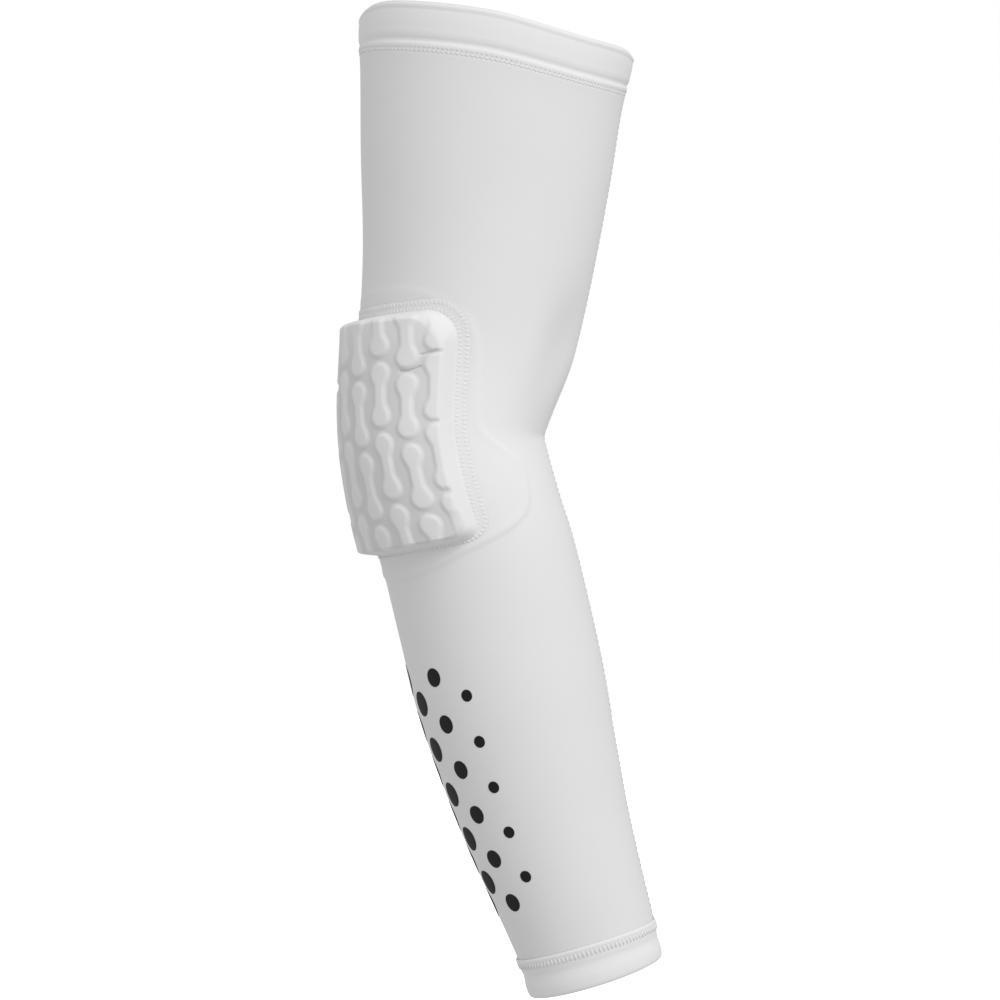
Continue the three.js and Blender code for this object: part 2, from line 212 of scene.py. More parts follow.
def new_piece(name, points, faces, material, corner_places):
    """A smooth piece with its place in its mesh. Each face corner has a place on the flat cloth."""
    mesh = bpy.data.meshes.new(name)
    mesh.from_pydata(points.reshape(-1, 3).tolist(), [], faces)
    mesh.polygons.foreach_set("use_smooth", np.ones(len(mesh.polygons), dtype=bool))
    layer = mesh.uv_layers.new(name="cloth")
    layer.uv.foreach_set("vector", (corner_places * MM).astype(np.float32).ravel())
    mesh.materials.append(material)
    piece = bpy.data.objects.new(name, mesh)
    bpy.context.scene.collection.objects.link(piece)
    return piece


def linear_colour(code):
    """A colour given as sRGB hex digits, in the linear values that the shaders use."""
    channels = np.array([int(code[k:k + 2], 16) for k in (1, 3, 5)]) / 255
    linear = np.where(channels <= 0.04045, channels / 12.92, ((channels + 0.055) / 1.055) ** 2.4)
    return (*linear.tolist(), 1.0)


def add_node(tree, kind, inputs=(), **settings):
    """Adds a node with its settings. Its inputs are constants, or sockets of other nodes to link from."""
    node = tree.nodes.new(kind)
    for name, value in settings.items():
        setattr(node, name, value)
    for socket, value in dict(inputs).items():
        if isinstance(value, bpy.types.NodeSocket):
            tree.links.new(value, node.inputs[socket])
        else:
            node.inputs[socket].default_value = value
    return node


WAVE_PERIOD = 0.1 * np.pi  # of Blender's wave texture at a scale of 1
COURSE_SHARE = 0.8  # height of a knitted loop over its width
CLOUD_SIZE = 28.0


def knit_cloth(name, colour, shade, wale, relief):
    """Fine polyester and elastane knit: matt white, a faint bloom at the edges, and rows of tiny loops.
    The real loops are under half a millimetre, so they are drawn wider, or they wouldn't show at all."""
    material = bpy.data.materials.new(name)
    material.use_nodes = True
    tree = material.node_tree
    surface = tree.nodes["Principled BSDF"]
    surface.inputs["Roughness"].default_value = 0.88
    surface.inputs["Specular IOR Level"].default_value = 0.2
    surface.inputs["Sheen Weight"].default_value = 0.03
    surface.inputs["Sheen Roughness"].default_value = 0.5
    place = add_node(tree, "ShaderNodeUVMap", uv_map="cloth").outputs["UV"]
    loops = []
    for direction, spacing in (("X", wale), ("Y", COURSE_SHARE * wale)):
        loops.append(add_node(tree, "ShaderNodeTexWave", {
            "Vector": place, "Scale": WAVE_PERIOD / (spacing * MM), "Distortion": 1.2, "Detail Scale": 1.5,
        }, bands_direction=direction).outputs["Fac"])
    height = add_node(tree, "ShaderNodeMath", {0: loops[0], 1: loops[1]}, operation="MULTIPLY").outputs[0]
    bump = add_node(tree, "ShaderNodeBump", {"Height": height, "Strength": 0.5, "Distance": relief * MM})
    tree.links.new(bump.outputs["Normal"], surface.inputs["Normal"])
    clouds = add_node(tree, "ShaderNodeTexNoise", {"Vector": place, "Scale": 1 / (CLOUD_SIZE * MM)})
    tint = add_node(tree, "ShaderNodeMixRGB", {
        "Fac": clouds.outputs["Fac"], "Color1": linear_colour(colour), "Color2": linear_colour(shade),
    })
    tree.links.new(tint.outputs["Color"], surface.inputs["Base Color"])
    return material


lining_outline = closed_curve(np.vstack([LINING_SIDE, LINING_SIDE[-2:0:-1] * (-1, 1)]), LINING_POINTS)
ring_shares = np.linspace(LINING_CENTRE_SHARE, 1, LINING_RINGS)
ring_edges = LINING_EDGE_ROUNDING * (ring_shares == 1)
outer_lifts = LINING_OUTER_LIFT - ring_edges
inner_lifts = LINING_INNER_LIFT + ring_edges
patch_shares = np.concatenate([ring_shares, ring_shares[::-1]])[:, None, None]
patch_lifts = np.concatenate([outer_lifts, inner_lifts[::-1]])[:, None]
patch_places = patch_shares * lining_outline
patch_count = 2 * LINING_RINGS * LINING_POINTS
patch_quads = grid_faces(2 * LINING_RINGS, LINING_POINTS, closed_columns=True)[0]
outer_cap = list(range(LINING_POINTS))
inner_cap = list(range(patch_count - 1, patch_count - LINING_POINTS - 1, -1))
patch_faces = patch_quads.tolist() + [outer_cap, inner_cap]
lining = new_piece(
    "lining_patch",
    pad_point(patch_places[..., 0], patch_places[..., 1], patch_lifts),
    patch_faces,
    knit_cloth("lining_knit", "#d8d8d8", "#d3d3d3", 1.0, 0.03),
    patch_places.reshape(-1, 2)[np.concatenate(patch_faces)])
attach(lining, "root")
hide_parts("pad_lining")


# Sleeve tube. White polyester and elastane jersey, cut as one panel and closed by a seam along the inner side
# of the arm. It is worn stretched, so it lies smooth, and only the lining's edge and the seam press through.
TUBE_TOP = 16.8
TUBE_BOTTOM = WRIST - 13.2
TUBE_THICKNESS = 1.2
TUBE_AROUND = 216
TUBE_OUTER_STEP = 1.1
TUBE_INNER_STEP = 6.0
ARM_RADIUS = 43.0  # a mean one, for laying the cloth out flat
LINING_STEP_HEIGHT = 0.6
LINING_STEP_WIDTH = 1.5
LINING_SINK = 0.25  # how much lower the jersey lies again under the pad
LINING_SINK_PLACES = (1.5, 5.5)
LINING_TOP_SHARE = 0.35  # of the step's height that is left along the top of the patch
LINING_TOP_LEVELS = (30.0, 60.0)
SEAM_ANGLE = np.radians(-4)
SEAM_HEIGHT = 0.3
SEAM_HALF_WIDTH = 2.2

# Below the upper hem's lap the jersey comes down to its plain form over a short slope
UPPER_LAP_END = 20.7
UPPER_TAPER_HEIGHT = 0.3
UPPER_TAPER_RISE = 0.5
UPPER_TAPER_LENGTH = 5.0
CLOSING_STEPS = 4


def soft_step(low, high, value):
    """Rises from 0 to 1 between two limits, with no corner at either."""
    share = np.clip((value - low) / (high - low), 0, 1)
    return share * share * (3 - 2 * share)


def pad_coordinates(along, angle):
    """Across and up on the pad's cloth of a point of the sleeve: pad_place backwards, in closing steps."""
    up = BACK_STRETCH * (PAD_ALONG - along)
    for _ in range(CLOSING_STEPS):
        level = np.clip(PAD_ALONG - up / BACK_STRETCH, 0, WRIST)
        up = BACK_STRETCH * (PAD_ALONG - along + pad_lean(level, up) * (PAD_LEAN_LEVEL - np.cos(angle)))
    section = arm_section(level)
    turn = np.remainder(PAD_ANGLE - angle + np.pi, 2 * np.pi) - np.pi
    return turn * (section[3] + section[4]) / 2 / (1 - PAD_FLARE * up), up


def lining_depth(across, up):
    """How far inside the lining's outline a point of the cloth lies, on a line to the patch's middle."""
    bearings = np.arctan2(lining_outline[:, 1], lining_outline[:, 0])
    reaches = np.hypot(lining_outline[:, 0], lining_outline[:, 1])
    return np.interp(np.arctan2(up, across), bearings, reaches, period=2 * np.pi) - np.hypot(across, up)


def tube_relief(along, angle):
    """How far the jersey's outer face stands off its plain form."""
    across, up = pad_coordinates(along, angle)
    depth = lining_depth(across, up)
    rise = LINING_STEP_HEIGHT * soft_step(0, LINING_STEP_WIDTH, depth)
    sink = LINING_SINK * soft_step(*LINING_SINK_PLACES, depth)
    patch = (rise - sink) * (1 - (1 - LINING_TOP_SHARE) * soft_step(*LINING_TOP_LEVELS, up))
    seam_side = ARM_RADIUS * np.abs(np.remainder(angle - SEAM_ANGLE + np.pi, 2 * np.pi) - np.pi)
    seam = SEAM_HEIGHT * soft_step(SEAM_HALF_WIDTH, SEAM_HALF_WIDTH / 2, seam_side)
    past_lap = np.maximum(along - UPPER_LAP_END, 0)
    taper = np.exp(-past_lap / UPPER_TAPER_LENGTH) * soft_step(0, UPPER_TAPER_RISE, past_lap)
    return patch + seam + UPPER_TAPER_HEIGHT * taper


def arm_band(name, along, lift, around, material):
    """A closed band round the arm. Its profile runs down its outer face and back up its inner one."""
    angle = np.arange(around) * 2 * np.pi / around
    along, lift, angle = np.broadcast_arrays(along, lift, angle)
    faces, rows, columns = grid_faces(*along.shape, closed_rows=True, closed_columns=True)
    profile = np.stack([along[:, 0], lift[:, 0]], axis=-1)
    positions = distances_along(np.vstack([profile, profile[:1]]))
    corner_places = np.stack([columns * ARM_RADIUS * 2 * np.pi / around, positions[rows]], axis=-1)
    return new_piece(name, sleeve_point(along, angle, lift), faces.tolist(), material, corner_places)


tube_length = TUBE_BOTTOM - TUBE_TOP
outer_along = np.linspace(TUBE_TOP, TUBE_BOTTOM, round(tube_length / TUBE_OUTER_STEP))
inner_along = np.linspace(TUBE_BOTTOM, TUBE_TOP, round(tube_length / TUBE_INNER_STEP))
outer_lift = tube_relief(outer_along[:, None], np.arange(TUBE_AROUND) * 2 * np.pi / TUBE_AROUND)
inner_lift = np.full((len(inner_along), TUBE_AROUND), -TUBE_THICKNESS)
tube = arm_band(
    "jersey_tube", np.concatenate([outer_along, inner_along])[:, None], np.vstack([outer_lift, inner_lift]),
    TUBE_AROUND, knit_cloth("sleeve_jersey", "#e0e0e0", "#dddddd", 0.8, 0.02))
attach(tube, "root")
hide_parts("sleeve_tube")


# Hems. Each end of the sleeve has a band of the same jersey folded in on itself. Its raw edge laps over the
# end of the tube, and a cover stitch presses that lap into a ridge.

# Profiles from the outer face of the ridge over the rim and up the inner face: distance from the rim, lift
UPPER_HEM_PROFILE = np.array([
    (20.6, 0.18), (20.4, 0.28), (19.6, 0.40), (18.6, 0.56), (18.0, 0.60), (17.4, 0.46), (16.9, 0.24),
    (16.4, 0.08), (15.9, 0.04), (15.3, 0.14), (14.5, 0.40), (13.5, 0.58), (10.5, 0.62), (7.0, 0.54),
    (4.6, 0.38), (3.2, 0.26), (2.0, 0.42), (1.3, 0.34), (0.9, 0.10), (0.75, -0.15), (0.85, -0.38),
    (0.62, -0.46), (0.25, -0.50), (0.03, -0.62), (0.0, -0.85), (0.1, -1.20), (0.7, -1.65), (3.0, -1.80),
    (10.0, -1.80), (16.0, -1.80), (16.4, -1.50), (16.5, -0.70), (16.5, -0.15), (16.7, 0.05), (17.2, 0.08),
    (19.0, 0.08), (20.2, 0.09),
])
WRIST_HEM_PROFILE = np.array([
    (18.2, 0.30), (18.0, 0.75), (17.5, 1.00), (16.8, 1.05), (15.9, 0.85), (14.8, 0.68), (13.4, 0.60),
    (12.2, 0.46), (11.2, 0.30), (10.4, 0.24), (9.2, 0.34), (7.4, 0.64), (5.6, 0.92), (4.2, 1.00), (2.8, 0.98),
    (1.5, 0.84), (0.7, 0.52), (0.2, 0.00), (0.05, -0.45), (0.0, -0.80), (0.1, -1.15), (0.8, -1.60),
    (3.0, -1.80), (8.0, -1.80), (12.4, -1.80), (12.75, -1.50), (12.85, -0.70), (12.9, -0.10), (13.2, 0.12),
    (16.0, 0.12), (17.9, 0.14),
])
WRIST_HEM_NARROWING = 0.05  # how much less high the wrist hem is at the sides than at its front and back
HEM_AROUND = 200
HEM_POINTS = 240


def folded_hem(name, node, profile, rim, direction, narrowing):
    """A hem's band round the arm, laid from its rim along the arm, or against it where direction is -1."""
    loop = closed_curve(profile[::-direction], HEM_POINTS)
    angle = np.arange(HEM_AROUND) * 2 * np.pi / HEM_AROUND
    along = rim + direction * loop[:, :1] * (1 - narrowing * np.cos(angle) ** 2)
    hem = arm_band(name, along, loop[:, 1:], HEM_AROUND, hem_jersey)
    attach(hem, "root")
    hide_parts(node)
    return hem


hem_jersey = knit_cloth("hem_jersey", "#e5e5e5", "#e2e2e2", 0.8, 0.02)
upper_hem = folded_hem("upper_hem_band", "upper_hem", UPPER_HEM_PROFILE, rim=0.0, direction=1, narrowing=0.0)
wrist_hem = folded_hem("wrist_hem_band", "wrist_hem", WRIST_HEM_PROFILE, rim=WRIST, direction=-1,
                       narrowing=WRIST_HEM_NARROWING)


# Elbow pad. Knit is bonded over a moulded block of soft foam, whose face carries staggered columns of
# bone-shaped bosses. The block's thin flange is sewn down on the sleeve, and its walls rise off the cloth
# inside the stitches.
PAD_FLANGE = {"half_width": 49.0, "top": 58.0, "bottom": 53.2, "top_corner": 17.0, "bottom_corner": 12.0}
PAD_FOOT = {"half_width": 43.2, "top": 52.8, "bottom": 52.3, "top_corner": 15.0, "bottom_corner": 6.5}
PAD_FACE = {"half_width": 38.0, "top": 50.4, "bottom": 50.0, "top_corner": 13.0, "bottom_corner": 5.5}
PAD_UNDERSIDE = 0.42
FLANGE_EDGE = 0.47
FLANGE_TOP = 0.60
FLANGE_SLOPE = 2.0
FLANGE_BLEND = 0.8
FACE_SIDE_BLEND = 0.6
FACE_TOP_BLEND = 7.0
FACE_BOTTOM_BLEND = 3.6
FACE_END_LEVELS = (32.0, 46.0)  # up or down from the middle, where the face's edge turns into a rounder one
BOSS_TOP = 8.6
BOSS_HEIGHT = 0.95
BOSS_FLANK = (-1.7, 0.8)  # distances outside a boss's outline where its flank begins and ends
GROOVE_LIFTS = (7.2, 8.4)  # heights of the block where the grooves begin and where they reach their depth
GROOVE_END_START = 5.0  # the height where they begin at the ends of the pad, where they run out on the walls
GROOVE_SHADE_LEVELS = (48.0, 28.0)  # up from the middle, where the painted shade in the grooves is nil and where it is at its darkest

# Pinched folds in the knit between the upper bosses: across, up
PINCHES = (
    np.array([(30.5, 32.2), (33.2, 33.0), (36.0, 33.7)]),
    np.array([(22.5, 25.75), (25.75, 25.5), (28.0, 26.0), (30.25, 27.0)]),
)
PINCH_DEPTH = 0.8
PINCH_HALF_WIDTH = 0.8
FACE_SPREAD = 1.18  # width of the curved face over the width of the cloth under it
BONE_COLUMNS = 8
BONE_ROWS = 5
COLUMN_PITCH = 12.7
EDGE_COLUMN = 43.8  # across to the outermost columns, which merge with the walls
FACE_EDGE = 42.45
ROW_PITCH = 31.2
MIDDLE_ROW = 14.1
COLUMN_STAGGER = 3.4
COLUMN_DRIFT = 0.8  # columns lie lower towards the far side
COLUMN_FAN = 0.0035  # how much further the columns stand from the front edge for each millimetre upwards
COLUMN_FAN_START = -14.0
COLUMN_SLANT = 0.035  # how far they lean towards the far side for each millimetre upwards
BULB_RADIUS = 5.0
BULB_CENTRE = 9.7
EDGE_BULB_CENTRE = 10.4  # in the outermost columns, whose bosses nearly touch
NECK_HALF_WIDTH = 3.0
NECK_BLEND = 3.0
PAD_STEP = 0.36
PAD_WALL_STEP = 0.18
PAD_WALL_ROWS = (-52.6, -47.5)  # the steep bottom wall, which needs closer rows
PAD_UNDERSIDE_SHARES = np.array([0.01, 0.2, 0.4, 0.6, 0.8, 0.95, 1.0])


def soft_min(a, b, blend):
    """The lesser of two lengths, rounded off where they meet."""
    share = np.clip(0.5 + (b - a) / (2 * blend), 0, 1)
    return b + (a - b) * share - blend * share * (1 - share)


def outline_distance(across, up, half_width, top, bottom, top_corner, bottom_corner):
    """Distance outside a pad outline, negative inside it."""
    middle = (top - bottom) / 2
    corner = np.where(up > middle, top_corner, bottom_corner)
    past_side = np.abs(across) - half_width + corner
    past_end = np.abs(up - middle) - (top + bottom) / 2 + corner
    inside = np.minimum(np.maximum(past_side, past_end), 0)
    return inside + np.hypot(np.maximum(past_side, 0), np.maximum(past_end, 0)) - corner


def round_corners(across, up, half_width, top, bottom, top_corner, bottom_corner):
    """Draws a rectangle's places in to the round corners of a pad outline."""
    middle = (top - bottom) / 2
    corner = np.where(up > middle, top_corner, bottom_corner)
    side_room = half_width - corner
    end_room = (top + bottom) / 2 - corner
    side_share = np.clip((np.abs(across) - side_room) / corner, 0, 1)
    end_share = np.clip((np.abs(up - middle) - end_room) / corner, 0, 1)
    side = np.minimum(np.abs(across), side_room) + corner * side_share * np.sqrt(1 - end_share ** 2 / 2)
    end = np.minimum(np.abs(up - middle), end_room) + corner * end_share * np.sqrt(1 - side_share ** 2 / 2)
    return np.sign(across) * side, middle + np.sign(up - middle) * end


def bone_distance(across, up):
    """Distance outside the nearest boss, negative inside it. A boss is two round bulbs joined by a neck."""
    nearest = np.full(across.shape, np.inf)
    for column in range(BONE_COLUMNS):
        from_middle = (BONE_COLUMNS - 1) / 2 - column
        at_edge = column in (0, BONE_COLUMNS - 1)
        side = across - np.clip(from_middle * COLUMN_PITCH, -EDGE_COLUMN, EDGE_COLUMN)
        stagger = COLUMN_STAGGER if column % 2 == 0 else -COLUMN_STAGGER
        level = MIDDLE_ROW + stagger - COLUMN_DRIFT * column
        for row in range(BONE_ROWS):
            middle = level + (row - BONE_ROWS // 2) * ROW_PITCH
            past_bulb = np.abs(up - middle) - (EDGE_BULB_CENTRE if at_edge else BULB_CENTRE)
            neck = np.maximum(np.abs(side) - NECK_HALF_WIDTH, past_bulb)
            bone = soft_min(np.hypot(side, past_bulb) - BULB_RADIUS, neck, NECK_BLEND)
            nearest = np.minimum(nearest, bone)
    return nearest


def pinch_depth(across, up):
    """Depth of the pinched folds."""
    nearest = np.full(across.shape, np.inf)
    for fold in PINCHES:
        for start, end in zip(fold[:-1], fold[1:]):
            run, rise = end - start
            share = ((across - start[0]) * run + (up - start[1]) * rise) / (run * run + rise * rise)
            share = np.clip(share, 0, 1)
            distance = np.hypot(across - start[0] - share * run, up - start[1] - share * rise)
            nearest = np.minimum(nearest, distance)
    return PINCH_DEPTH * np.maximum(0, 1 - nearest / PINCH_HALF_WIDTH)


def pad_block(across, up):
    """Height of the pad's block without its grooves, and how near a place is to an end of the pad."""
    past_foot = outline_distance(across, up, **PAD_FOOT)
    climb = past_foot / (past_foot - outline_distance(across, up, **PAD_FACE))
    end_share = soft_step(*FACE_END_LEVELS, np.abs(up))
    end_blend = np.where(up > 0, FACE_TOP_BLEND, FACE_BOTTOM_BLEND)
    rounding = FACE_SIDE_BLEND + (end_blend - FACE_SIDE_BLEND) * end_share
    return soft_min(FLANGE_TOP + (BOSS_TOP - FLANGE_TOP) * climb, BOSS_TOP, rounding), end_share


def groove_share(across, up):
    """1 on the floor of the grooves between the bosses, 0 on the bosses and on the walls."""
    block, end_share = pad_block(across, up)
    fan = 1 - COLUMN_FAN * np.maximum(up, COLUMN_FAN_START)
    on_face = np.clip(FACE_SPREAD * across, -FACE_EDGE, FACE_EDGE)
    distance = bone_distance(FACE_EDGE - (FACE_EDGE - on_face) * fan + COLUMN_SLANT * up, up)
    groove_start = GROOVE_LIFTS[0] + (GROOVE_END_START - GROOVE_LIFTS[0]) * end_share
    return soft_step(*BOSS_FLANK, distance) * soft_step(groove_start, GROOVE_LIFTS[1], block)


def pad_lift(across, up):
    """Height of the pad's outer face off the sleeve."""
    flange_share = soft_step(0, FLANGE_SLOPE, -outline_distance(across, up, **PAD_FLANGE))
    flange = FLANGE_EDGE + (FLANGE_TOP - FLANGE_EDGE) * flange_share
    raised = pad_block(across, up)[0] - BOSS_HEIGHT * groove_share(across, up)
    return -soft_min(-flange, -raised, FLANGE_BLEND) - pinch_depth(across, up)


def pad_cloth(name):
    """Thin knit bonded over foam: the sleeve's yarn, flatter from the hot mould, with painted shade in the
    grooves.
    """
    material = knit_cloth(name, "#dfdfdf", "#dcdcdc", 0.8, 0.015)
    tree = material.node_tree
    surface = tree.nodes["Principled BSDF"]
    surface.inputs["Roughness"].default_value = 0.8
    knit = surface.inputs["Base Color"].links[0].from_socket
    # Painted shade: a darker grey mixed into the groove floors by the pad's per-point attribute
    in_groove = add_node(tree, "ShaderNodeAttribute", attribute_name="groove_shade").outputs["Fac"]
    tint = add_node(tree, "ShaderNodeMixRGB", {
        "Fac": in_groove, "Color1": knit, "Color2": linear_colour("#d1d1d1"),
    })
    tree.links.new(tint.outputs["Color"], surface.inputs["Base Color"])
    return material


wall_low, wall_high = PAD_WALL_ROWS
flange_low, flange_high = -PAD_FLANGE["bottom"], PAD_FLANGE["top"]
grid_across = np.arange(-PAD_FLANGE["half_width"], PAD_FLANGE["half_width"] + PAD_STEP / 2, PAD_STEP)
grid_up = np.concatenate([
    np.linspace(flange_low, wall_low, round((wall_low - flange_low) / PAD_STEP), endpoint=False),
    np.linspace(wall_low, wall_high, round((wall_high - wall_low) / PAD_WALL_STEP), endpoint=False),
    np.linspace(wall_high, flange_high, round((flange_high - wall_high) / PAD_STEP)),
])
face_across, face_up = round_corners(*np.meshgrid(grid_across, grid_up), **PAD_FLANGE)
face_points = pad_point(face_across, face_up, pad_lift(face_across, face_up)).reshape(-1, 3)
face_places = np.stack([face_across, face_up], axis=-1).reshape(-1, 2)
face_index = np.arange(len(face_points)).reshape(face_across.shape)
face_rim = np.concatenate([
    face_index[0, :-1], face_index[:-1, -1], face_index[-1, :0:-1], face_index[:0:-1, 0],
])
under_places = (PAD_UNDERSIDE_SHARES[:, None, None] * face_places[face_rim]).reshape(-1, 2)
under_points = pad_point(under_places[:, 0], under_places[:, 1], PAD_UNDERSIDE)
under_index = np.arange(len(under_points)).reshape(len(PAD_UNDERSIDE_SHARES), -1) + len(face_points)
ring_index = np.vstack([under_index, face_rim])
pad_faces = grid_faces(*face_index.shape)[0].tolist()
pad_faces += ring_index.ravel()[grid_faces(*ring_index.shape, closed_columns=True)[0]].tolist()
pad_faces.append(under_index[0, ::-1].tolist())
pad = new_piece(
    "foam_elbow_pad", np.vstack([face_points, under_points]), pad_faces, pad_cloth("foam_backed_knit"),
    np.vstack([face_places, under_places])[np.concatenate(pad_faces)])
# Painted shade in the grooves between the bosses, full over most of the pad and fading out towards its top
groove_shade = groove_share(face_across, face_up) * soft_step(*GROOVE_SHADE_LEVELS, face_up)
groove_shade_layer = pad.data.attributes.new("groove_shade", "FLOAT", "POINT")
groove_shade_layer.data.foreach_set("value", np.append(groove_shade, np.zeros(len(under_points))).astype(np.float32))
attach(pad, "root")
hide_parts("elbow_pad")


# Stitching. Soft white polyester thread: cover stitches along the ridges of the hems, two rows of short
# stitches round the pad's flange, and a zigzag down the lengthwise seam. Each stitch is a hump of thread.
STITCH_SEED = 7
STITCH_JITTER = np.radians(4)
STITCH_PATH_POINTS = 400
UPPER_TICKS = {"count": 160, "length": 2.4, "width": 1.5, "height": 0.26, "slant": 78}
UPPER_TICKS_DEPTH = 18.2  # from the upper rim
UPPER_TICKS_LIFT = 0.46
UPPER_DOTS = {"count": 160, "length": 1.15, "width": 1.0, "height": 0.44, "slant": 0}
UPPER_DOTS_DEPTH = 20.5
UPPER_DOTS_LIFT = 0.26
WRIST_LADDER = {"count": 103, "length": 3.1, "width": 0.95, "height": 0.6, "slant": 88}
WRIST_LADDER_DEPTH = 15.3  # from the wrist rim
WRIST_LADDER_LIFT = 0.86
SEAM_ZIGZAG = {"count": 288, "length": 4.4, "width": 0.4, "height": 0.3, "slant": 65, "alternate": True}
SEAM_ENDS = (22.0, WRIST - 18.5)
FLANGE_STITCHES = {"count": 205, "length": 1.9, "width": 0.8, "height": 0.24, "slant": 88}
FLANGE_ROWS = {
    "inner": {"half_width": 44.4, "top": 53.9, "bottom": 52.2, "top_corner": 15.5, "bottom_corner": 10.0},
    "outer": {"half_width": 47.6, "top": 56.7, "bottom": 52.8, "top_corner": 17.0, "bottom_corner": 11.5},
}
OUTLINE_REACH = 100.0  # well outside every outline of the pad
HALVINGS = 30
THREAD_FIBRE = 0.4


def stitch_tree():
    """Lays stitches evenly on a path whose points know which way is out of the cloth."""
    tree = bpy.data.node_groups.new("stitch_row", "GeometryNodeTree")
    tree.interface.new_socket("Path", in_out="INPUT", socket_type="NodeSocketGeometry")
    tree.interface.new_socket("Count", in_out="INPUT", socket_type="NodeSocketInt")
    for size in ("Length", "Width", "Height", "Slant", "Alternate"):
        tree.interface.new_socket(size, in_out="INPUT", socket_type="NodeSocketFloat")
    tree.interface.new_socket("Thread", in_out="INPUT", socket_type="NodeSocketMaterial")
    tree.interface.new_socket("Stitches", in_out="OUTPUT", socket_type="NodeSocketGeometry")
    given = add_node(tree, "NodeGroupInput").outputs
    curve = add_node(tree, "GeometryNodeMeshToCurve", {"Mesh": given["Path"]}).outputs["Curve"]
    beads = add_node(tree, "GeometryNodeCurveToPoints", {
        "Curve": curve, "Count": given["Count"],
    }, mode="COUNT").outputs
    out = add_node(tree, "GeometryNodeInputNamedAttribute", {
        "Name": "out",
    }, data_type="FLOAT_VECTOR").outputs["Attribute"]
    upright = add_node(tree, "FunctionNodeAlignRotationToVector", {
        "Vector": out,
    }, axis="Z").outputs["Rotation"]
    facing = add_node(tree, "FunctionNodeAlignRotationToVector", {
        "Rotation": upright, "Vector": beads["Tangent"],
    }, axis="X", pivot_axis="Z").outputs["Rotation"]
    index = add_node(tree, "GeometryNodeInputIndex").outputs["Index"]
    odd = add_node(tree, "ShaderNodeMath", {0: index, 1: 2.0}, operation="MODULO").outputs[0]
    flip = add_node(tree, "ShaderNodeMath", {0: odd, 1: given["Alternate"]}, operation="MULTIPLY").outputs[0]
    sign = add_node(tree, "ShaderNodeMath", {0: flip, 1: -2.0, 2: 1.0}, operation="MULTIPLY_ADD").outputs[0]
    jitter = add_node(tree, "FunctionNodeRandomValue", {
        2: -STITCH_JITTER, 3: STITCH_JITTER, "Seed": STITCH_SEED,
    }, data_type="FLOAT").outputs[1]
    angle = add_node(tree, "ShaderNodeMath", {
        0: given["Slant"], 1: sign, 2: jitter,
    }, operation="MULTIPLY_ADD").outputs[0]
    slant = add_node(tree, "FunctionNodeAxisAngleToRotation", {
        "Axis": (0, 0, 1), "Angle": angle,
    }).outputs["Rotation"]
    turned = add_node(tree, "FunctionNodeRotateRotation", {
        "Rotation": facing, "Rotate By": slant,
    }, rotation_space="LOCAL").outputs["Rotation"]
    sizes = add_node(tree, "ShaderNodeCombineXYZ", {
        "X": given["Length"], "Y": given["Width"], "Z": given["Height"],
    }).outputs["Vector"]
    bead = add_node(tree, "GeometryNodeMeshUVSphere", {
        "Segments": 8, "Rings": 5, "Radius": 0.5,
    }).outputs["Mesh"]
    laid = add_node(tree, "GeometryNodeInstanceOnPoints", {
        "Points": beads["Points"], "Instance": bead, "Rotation": turned, "Scale": sizes,
    }).outputs["Instances"]
    solid = add_node(tree, "GeometryNodeRealizeInstances", {"Geometry": laid}).outputs["Geometry"]
    smooth = add_node(tree, "GeometryNodeSetShadeSmooth", {"Geometry": solid}).outputs["Geometry"]
    threaded = add_node(tree, "GeometryNodeSetMaterial", {
        "Geometry": smooth, "Material": given["Thread"],
    }).outputs["Geometry"]
    add_node(tree, "NodeGroupOutput", {"Stitches": threaded})
    return tree


def guide_piece(name, points, outs, edges):
    """A bare mesh of places for a tree, each with its direction out of the cloth."""
    mesh = bpy.data.meshes.new(name)
    mesh.from_pydata(points.tolist(), edges, [])
    attribute = mesh.attributes.new("out", "FLOAT_VECTOR", "POINT")
    attribute.data.foreach_set("vector", outs.astype(np.float32).ravel())
    piece = bpy.data.objects.new(name, mesh)
    bpy.context.scene.collection.objects.link(piece)
    return piece


def grow_on(piece, tree, values):
    """Runs a tree on a piece that holds its path or points, and keeps the result as its plain mesh."""
    modifier = piece.modifiers.new(tree.name, "NODES")
    modifier.node_group = tree
    for socket in tree.interface.items_tree:
        if socket.name in values:
            modifier[socket.identifier] = values[socket.name]
    grown = piece.evaluated_get(bpy.context.evaluated_depsgraph_get())
    mesh = bpy.data.meshes.new_from_object(grown)
    piece.modifiers.remove(modifier)
    piece.data = mesh


def stitch_row(name, slot, along, angle, lift, count, length, width, height, slant,
               alternate=False, closed=True):
    """One row of stitches along a path on the sleeve, which comes back to its start where it is closed."""
    points = sleeve_point(along, angle, lift)
    outs = (sleeve_point(along, angle, lift + 1) - points) / MM
    last = len(points) - 1
    edges = [(k, k + 1) for k in range(last)] + [(last, 0)] * closed
    row = guide_piece(name, points, outs, edges)
    grow_on(row, stitch_rows, {
        "Count": count, "Length": length * MM, "Width": width * MM, "Height": height * MM,
        "Slant": np.radians(slant), "Alternate": float(alternate), "Thread": thread,
    })
    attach(row, "root")


def outline_ring(outline, count):
    """Places round a pad outline, found on rays from its middle."""
    bearing = np.linspace(0, 2 * np.pi, count, endpoint=False)
    near, far = np.zeros(count), np.full(count, OUTLINE_REACH)
    for _ in range(HALVINGS):
        reach = (near + far) / 2
        inside = outline_distance(reach * np.cos(bearing), reach * np.sin(bearing), **outline) < 0
        near, far = np.where(inside, reach, near), np.where(inside, far, reach)
    return near * np.cos(bearing), near * np.sin(bearing)


